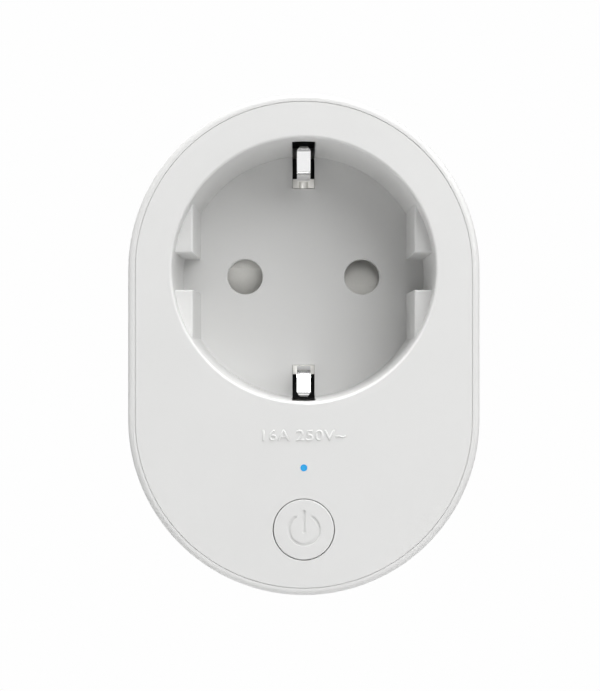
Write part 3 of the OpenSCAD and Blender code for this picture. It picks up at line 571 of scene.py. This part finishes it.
def circuit_board(name, mask_hex, track_hex, across, roughness):
    """Solder mask over tracks. across names the two axes that lie in the board."""
    material, tree, shader, place = begin(name, ior=1.5, coat_weight=0.3, coat_roughness=0.1)
    axes = add(tree, "ShaderNodeSeparateXYZ", {0: place})
    flat = add(
        tree,
        "ShaderNodeCombineXYZ",
        {"X": axes.outputs[across[0]], "Y": axes.outputs[across[1]]},
    ).outputs["Vector"]
    cell = add(
        tree,
        "ShaderNodeTexVoronoi",
        {"Vector": flat, "Scale": per_metre(ROUTED_CELL)},
        distance="CHEBYCHEV",
    )
    routed = add(tree, "ShaderNodeSeparateColor", {0: cell.outputs["Color"]}).outputs["Red"]
    way = add(tree, "ShaderNodeMath", {0: routed, 1: 0.5}, operation="GREATER_THAN").outputs["Value"]
    tracks = []
    for axis in across:
        phase = add(
            tree,
            "ShaderNodeMath",
            {0: axes.outputs[axis], 1: 2 * math.pi * per_metre(TRACK_PITCH)},
            operation="MULTIPLY",
        )
        swing = add(tree, "ShaderNodeMath", {0: phase.outputs["Value"]}, operation="SINE")
        line = add(tree, "ShaderNodeMath", {0: swing.outputs["Value"], 1: 0.35}, operation="GREATER_THAN")
        tracks.append(line.outputs["Value"])
    chosen = add(
        tree, "ShaderNodeMix", {"Factor": way, "A": tracks[0], "B": tracks[1]}, data_type="FLOAT"
    )
    track = chosen.outputs["Result"]
    dots = add(
        tree, "ShaderNodeTexVoronoi", {"Vector": flat, "Scale": per_metre(PAD_PITCH), "Randomness": 0.0}
    )
    near = add(tree, "ShaderNodeMath", {0: dots.outputs["Distance"], 1: 0.24}, operation="LESS_THAN")
    patch = add(tree, "ShaderNodeTexNoise", {"Vector": flat, "Scale": per_metre(7)})
    kept = add(tree, "ShaderNodeMath", {0: patch.outputs["Fac"], 1: 0.55}, operation="GREATER_THAN")
    pad = add(
        tree, "ShaderNodeMath", {0: near.outputs["Value"], 1: kept.outputs["Value"]}, operation="MULTIPLY"
    ).outputs["Value"]
    mask = painted(tree, track, mask_hex, track_hex)
    tree.links.new(painted(tree, pad, mask, "#C4C5C3"), shader.inputs["Base Color"])
    tree.links.new(pad, shader.inputs["Metallic"])
    weave = add(
        tree, "ShaderNodeTexVoronoi", {"Vector": flat, "Scale": per_metre(WEAVE_PITCH), "Randomness": 0.1}
    )
    gloss = add(
        tree,
        "ShaderNodeMapRange",
        {"Value": weave.outputs["Distance"], "To Min": roughness - 0.05, "To Max": roughness + 0.05},
    )
    tree.links.new(gloss.outputs["Result"], shader.inputs["Roughness"])
    step = add(tree, "ShaderNodeMath", {0: track, 1: pad}, operation="MAXIMUM")
    relief = add(
        tree,
        "ShaderNodeBump",
        {"Height": step.outputs["Value"], "Strength": 0.5, "Distance": 0.035 * MM},
    )
    tree.links.new(relief.outputs["Normal"], shader.inputs["Normal"])
    return material


power_green = circuit_board("green_mask_on_glass_epoxy", "#12482A", "#1D6B3C", ("X", "Z"), 0.3)
dress(power_green, "power_board", "control_board")
radio_black = circuit_board("black_mask_on_glass_epoxy", "#14161A", "#24282F", ("Y", "Z"), 0.34)
dress(radio_black, "wifi_board")

# %% [markdown]
# ## Components on the boards
#
# The varistor is a disc dipped in blue epoxy, whose drip ends just above the board, with tinned leads
# below it. The film capacitor is a yellow moulded box. The rectifier and the small chips are black
# epoxy, moulded with a coarse silica filler, so they are dull and speckled.

# %% Varistor, film capacitor and chips
DIP_MIDDLE = board_face - 6.3
DIP_HALF = 4.7
varistor_blue, *_ = two_part(
    "dipped_blue_epoxy", ("#2C5F94", "#3A74AD"), TINNED_LEAD, "Y", DIP_MIDDLE, DIP_HALF, 0.35, 0.8
)
dress(varistor_blue, "varistor")
film_yellow = moulded("moulded_yellow_polyester_box", "#D9A93A", "#CC9A2C", 0.25, 0.36, flow_mm=5)
dress(film_yellow, "film_capacitor")
chip_epoxy = moulded(
    "silica_filled_black_epoxy", "#1A1A1B", "#2A2A2B", 0.12, 0.6, relief_mm=0.03, flow_mm=0.3
)
dress(chip_epoxy, "bridge_rectifier", "board_chips")

# %% [markdown]
# ## Fuse resistor
#
# A wirewound resistor with a cement coat, grey-green and slightly rough, carries printed colour rings
# that state its value. The rings are bands along its length, painted one after another.

# %% Fuse resistor
resistor_low, resistor_high = span("fuse_resistor", "z")
resistor_middle = (resistor_low + resistor_high) / 2
CAP_LENGTH = 0.7
resistor_half = (resistor_high - resistor_low) / 2 - CAP_LENGTH
resistor_cement, tree, shader, along = two_part(
    "cement_coated_resistor",
    ("#4F7A60", "#5F8C70"),
    TINNED_LEAD,
    "Z",
    resistor_middle,
    resistor_half,
    0.6,
    0.25,
)
coat = shader.inputs["Base Color"].links[0].from_socket
RINGS = ((-1.9, "#5A3A20"), (-1.0, "#141414"), (-0.1, "#7A2A1C"), (1.7, "#B08A3A"))
RING_HALF = 0.22
for offset_mm, ring_hex in RINGS:
    ring = band(tree, along, resistor_middle + offset_mm, RING_HALF)
    coat = painted(tree, ring, coat, ring_hex)
tree.links.new(coat, shader.inputs["Base Color"])
dress(resistor_cement, "fuse_resistor")

# %% [markdown]
# ## Electrolytic capacitors
#
# An aluminium can stands in a dark shrink sleeve that leaves its vented top bare. A pale stripe marks
# the negative side. The sleeve ends a little below the top, so the mask compares the height with that
# edge, and the stripe faces up, where the can's surface is highest above its axis.

# %% Electrolytic capacitors
can_top = span("electrolytic_capacitors", "y")[0]
BARE_TOP = 0.05
BETWEEN_CANS_X = 0.2
LEFT_CAN_Z, RIGHT_CAN_Z = -41.0, -39.6
STRIPE_ABOVE_AXIS = 2.7
can_sleeve, tree, shader, place = begin("pvc_sleeve_on_aluminium_can", ior=1.53)
axes = add(tree, "ShaderNodeSeparateXYZ", {0: place})
bare = add(
    tree, "ShaderNodeMath", {0: axes.outputs["Y"], 1: (can_top + BARE_TOP) * MM}, operation="LESS_THAN"
).outputs["Value"]
right_can = add(
    tree, "ShaderNodeMath", {0: axes.outputs["X"], 1: BETWEEN_CANS_X * MM}, operation="GREATER_THAN"
)
can_axis = add(
    tree,
    "ShaderNodeMapRange",
    {"Value": right_can.outputs["Value"], "To Min": LEFT_CAN_Z * MM, "To Max": RIGHT_CAN_Z * MM},
)
above = add(
    tree, "ShaderNodeMath", {0: axes.outputs["Z"], 1: can_axis.outputs["Result"]}, operation="SUBTRACT"
)
stripe = add(
    tree,
    "ShaderNodeMath",
    {0: above.outputs["Value"], 1: STRIPE_ABOVE_AXIS * MM},
    operation="GREATER_THAN",
)
wrinkle = add(tree, "ShaderNodeTexNoise", {"Vector": place, "Scale": per_metre(1.2), "Detail": 3.0})
sleeve = painted(tree, wrinkle.outputs["Fac"], "#1B2138", "#252C48")
sleeve = painted(tree, stripe.outputs["Value"], sleeve, "#B9BCC4")
tree.links.new(painted(tree, bare, sleeve, "#C2C3C4"), shader.inputs["Base Color"])
tree.links.new(bare, shader.inputs["Metallic"])
gloss = add(tree, "ShaderNodeMapRange", {"Value": wrinkle.outputs["Fac"], "To Min": 0.2, "To Max": 0.34})
tree.links.new(gloss.outputs["Result"], shader.inputs["Roughness"])
relief = add(
    tree, "ShaderNodeBump", {"Height": wrinkle.outputs["Fac"], "Strength": 0.3, "Distance": 0.05 * MM}
)
tree.links.new(relief.outputs["Normal"], shader.inputs["Normal"])
dress(can_sleeve, "electrolytic_capacitors")

# %% [markdown]
# ## Header, push switch, lamp and insulating sheet
#
# The row of pins between the boards is gold flashed, held in a black strip. The push switch has
# a stainless cover on a dark base. The small lamp is clear epoxy that glows blue. The sheet between the
# boards and the back of the casing is pressed fibre, cream, with visible flecks.

# %% Header, switch, lamp and sheet
control_back = span("control_board", "y")[1]
STRIP_MIDDLE = control_back + 1.08
STRIP_HALF = 1.06
header_gold, *_ = two_part(
    "gold_flashed_header", ("#1B1C1E", "#26272A"), "#D8B45E", "Y", STRIP_MIDDLE, STRIP_HALF, 0.32, 0.3
)
dress(header_gold, "board_header")
switch_back = span("switch_body", "y")[1]
SWITCH_BASE_MIDDLE = switch_back - 0.3
SWITCH_BASE_HALF = 0.32
switch_steel, *_ = two_part(
    "stainless_cover_on_switch_base",
    ("#232426", "#2E2F31"),
    "#C7C8CA",
    "Y",
    SWITCH_BASE_MIDDLE,
    SWITCH_BASE_HALF,
    0.3,
    0.3,
)
dress(switch_steel, "switch_body")
lamp_epoxy = moulded("clear_lamp_epoxy", "#BFE2F8", "#A9D4F2", 0.15, 0.18, ior=1.5, flow_mm=0.4)
lamp_shader = next(n for n in lamp_epoxy.node_tree.nodes if n.type == "BSDF_PRINCIPLED")
lamp_shader.inputs["Emission Color"].default_value = linear("#58BFFA")
lamp_shader.inputs["Emission Strength"].default_value = 0.8
dress(lamp_epoxy, "status_lamp")
sheet_fibre = moulded(
    "pressed_vulcanised_fibre", "#E3DAC2", "#CDBF9E", 0.3, 0.6, relief_mm=0.04, flow_mm=1.5
)
dress(sheet_fibre, "insulating_sheet")

# %% [markdown]
# ## Raised lettering
#
# A socket states its rating on its face. Here it is a generic one, in letters that stand a little
# proud in the panel's own white, so they show only by the light on their sloping sides. A text curve
# with a bevel is the simplest way to make such letters. It is turned to a mesh, because its exact width
# and place are then known and it can be scaled to size. Its back half lies inside the panel.

# %% Raised lettering
RATING_WIDTH = 12.3 * MM
RATING_HEIGHT = 1.64 * MM
RATING_PROUD = 0.12 * MM
RATING_Z = -24.4 * MM
letters = bpy.data.curves.new("rating_letters", "FONT")
letters.body = "16A 250V~"
letters.size = 1.0
letters.extrude = 0.01
letters.bevel_depth = 0.035
letters.bevel_resolution = 1
letters.offset = -0.02
letters.space_character = 1.08
draft = bpy.data.objects.new("rating_draft", letters)
scene.collection.objects.link(draft)
bpy.context.view_layer.update()
relief_mesh = bpy.data.meshes.new_from_object(draft)
relief_mesh.name = "rating_relief"
bpy.data.objects.remove(draft)
corners = [vertex.co.copy() for vertex in relief_mesh.vertices]
low = Vector(min(corner[i] for corner in corners) for i in range(3))
high = Vector(max(corner[i] for corner in corners) for i in range(3))
panel_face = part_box("front_panel")[0].y
for vertex in relief_mesh.vertices:
    share = [(vertex.co[i] - low[i]) / (high[i] - low[i]) for i in range(3)]
    vertex.co = (
        (share[0] - 0.5) * RATING_WIDTH,
        panel_face - (2 * share[2] - 1) * RATING_PROUD,
        RATING_Z + (share[1] - 0.5) * RATING_HEIGHT,
    )
relief_mesh.flip_normals()
rating = bpy.data.objects.new("rating_relief", relief_mesh)
scene.collection.objects.link(rating)
relief_mesh.materials.clear()
relief_mesh.materials.append(casing_white)
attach(rating, "casing")
print("rating letters", len(relief_mesh.vertices), "points")

# %% [markdown]
# ## Stage
#
# A pale paper floor lies well below the plug. It is part of the stage.

# %% Stage
bpy.ops.mesh.primitive_circle_add(vertices=96, radius=0.6, fill_type="NGON", location=(0, 0, -0.3))
floor = bpy.context.object
floor.name = "studio_floor"
paper, tree, shader, place = begin("matt_white_paper", roughness=0.9)
mottle = add(tree, "ShaderNodeTexNoise", {"Vector": place, "Scale": per_metre(30)})
pulp = add(
    tree,
    "ShaderNodeMix",
    {"Factor": mottle.outputs["Fac"], "A": linear("#ECECEC"), "B": linear("#F0F0F0")},
    data_type="RGBA",
)
tree.links.new(pulp.outputs["Result"], shader.inputs["Base Color"])
floor.data.materials.append(paper)

# %% [markdown]
# ## Surround
#
# A white surround fills the view behind the plug, and does three jobs at different strengths. The
# camera sees it as plain white. As fill for matt surfaces it is much dimmer, so that the lamps can still
# draw the depth of the socket. What shiny surfaces mirror is a ring of white cards round the camera:
# darker straight ahead, bright 40 to 55 degrees off, and darker again at the sides. That is how bright
# metal is made to look like metal, with clear white and grey facets. The direction's own y says how
# far off straight ahead a ray goes.

# %% Surround
world = bpy.data.worlds.new("white_surround")
scene.world = world
world.use_nodes = True
sky = world.node_tree
sky.nodes.clear()
ray = add(sky, "ShaderNodeLightPath")
toward = add(sky, "ShaderNodeTexCoord").outputs["Generated"]
ahead = add(sky, "ShaderNodeSeparateXYZ", {0: toward}).outputs["Y"]
off_axis = add(sky, "ShaderNodeMapRange", {"Value": ahead, "From Min": 1.0, "From Max": -1.0})
cards = add(sky, "ShaderNodeValToRGB", {"Fac": off_axis.outputs["Result"]})
# Each pair is a place from straight behind, 0, to straight ahead, 1, and the brightness there.
CARD_LEVELS = ((0.0, 0.25), (0.55, 0.2), (0.68, 0.35), (0.8, 1.0), (0.88, 1.0), (0.95, 0.45), (1.0, 0.35))
while len(cards.color_ramp.elements) < len(CARD_LEVELS):
    cards.color_ramp.elements.new(1.0)
for element, (place_on_ramp, level) in zip(cards.color_ramp.elements, CARD_LEVELS):
    element.position = place_on_ramp
    element.color = (level, level, level, 1)
seen = add(sky, "ShaderNodeBackground", {"Color": linear("#FEFEFE"), "Strength": 1.0})
mirrored = add(sky, "ShaderNodeBackground", {"Color": cards.outputs["Color"], "Strength": 1.25})
fill = add(sky, "ShaderNodeBackground", {"Color": linear("#FFFFFF"), "Strength": 0.15})
bounce = add(
    sky,
    "ShaderNodeMixShader",
    {0: ray.outputs["Is Glossy Ray"], 1: fill.outputs["Background"], 2: mirrored.outputs["Background"]},
)
both = add(
    sky,
    "ShaderNodeMixShader",
    {0: ray.outputs["Is Camera Ray"], 1: bounce.outputs["Shader"], 2: seen.outputs["Background"]},
)
add(sky, "ShaderNodeOutputWorld", {"Surface": both.outputs["Shader"]})

# %% [markdown]
# ## Lamps
#
# Four round softboxes light the plug, as in product work. A large one at the upper right, in front,
# gives the face its even white and leaves the socket's upper right wall in shade. A second one high
# above grazes the face, so it is brightest at the top and fades downward, and reaches into the socket
# only as far as its lower wall. A weak third one at the left keeps the left rim and the right key
# block from going grey. The fourth stands behind and lights only the back with its pins. None of them
# shows in the view itself.

# %% Lamps


def softbox(name, direction, size, power):
    """A round lamp one metre from the plug, which it faces."""
    light = bpy.data.lights.new(name, "AREA")
    light.shape = "DISK"
    light.size = size
    light.energy = power
    lamp = bpy.data.objects.new(name, light)
    toward = Vector(direction).normalized()
    lamp.location = toward
    lamp.rotation_euler = toward.to_track_quat("Z", "Y").to_euler()
    lamp.visible_camera = False
    scene.collection.objects.link(lamp)
    print(name, "at", tuple(round(v, 3) for v in lamp.location))


softbox("key_softbox", (0.6, -1, 0.8), 1.25, 9.5)
softbox("top_softbox", (0, -0.25, 0.97), 0.5, 7.4)
softbox("left_softbox", (-1.0, -0.2, 0.02), 0.6, 1.9)
softbox("back_softbox", (-0.5, 1, 0.6), 1.0, 5)
